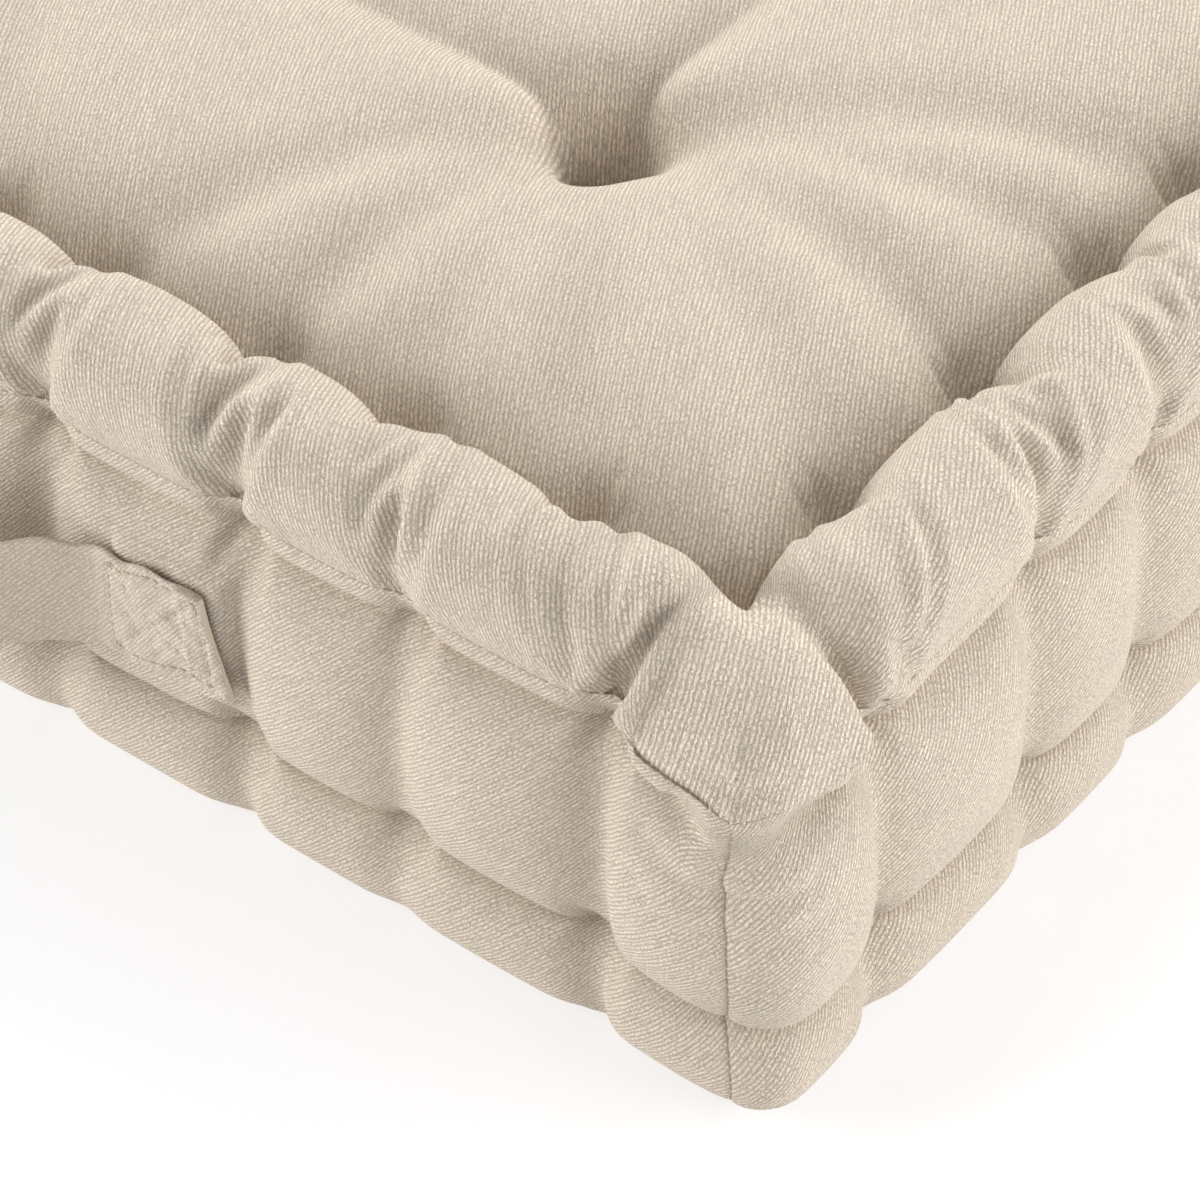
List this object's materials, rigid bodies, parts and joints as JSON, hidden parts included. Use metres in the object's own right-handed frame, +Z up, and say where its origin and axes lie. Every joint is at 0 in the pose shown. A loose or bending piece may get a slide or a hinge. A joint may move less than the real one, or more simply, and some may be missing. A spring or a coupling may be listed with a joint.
{
  "type": "floor cushion",
  "caption": "Square tufted floor cushion in cotton twill, with hand-rolled stitched edges, a puffed boxing and a fabric carrying handle on one side.",
  "frame": {"origin": "centre of the underside, on the surface that the cushion lies on", "axes": "+Z up out of the top panel; the carrying handle is on the -Y side; X runs along that side"},
  "size_m": [0.6, 0.6356, 0.152],
  "materials": {
    "top_twill": "matte beige cotton twill",
    "boxing_twill": "matte beige cotton twill",
    "bottom_twill": "matte beige cotton twill",
    "handle_twill": "matte beige cotton twill, folded double",
    "fibre_fill": "off-white fibre wadding",
    "tufting_twine": "waxed beige twine",
    "roll_stitching": "waxed beige twine",
    "seam_thread": "beige sewing thread"
  },
  "bodies": {
    "root": {"bottom_panel": "bottom_twill", "bottom_seam_thread": "seam_thread", "boxing_back": "boxing_twill", "boxing_front": "boxing_twill", "boxing_left": "boxing_twill", "boxing_right": "boxing_twill", "corner_seam_back_left": "seam_thread", "corner_seam_back_right": "seam_thread", "corner_seam_front_left": "seam_thread", "corner_seam_front_right": "seam_thread", "fibre_fill": "fibre_fill", "handle_end_left": "handle_twill", "handle_end_right": "handle_twill", "handle_stitching_left": "seam_thread", "handle_stitching_right": "seam_thread", "lower_roll_twine": "roll_stitching", "top_panel": "top_twill", "top_seam_thread": "seam_thread", "tuft_twine_r1c1": "tufting_twine", "tuft_twine_r1c2": "tufting_twine", "tuft_twine_r2c1": "tufting_twine", "tuft_twine_r2c2": "tufting_twine", "upper_roll_twine": "roll_stitching"},
    "handle": {"handle_grip": "handle_twill"}
  },
  "joints": [
    {"name": "handle_flip", "type": "hinge", "parent": "root", "child": "handle", "pos_m": [0, -0.298, 0.07], "axis": [1, 0, 0], "range_deg": [-45, 45]}
  ]
}
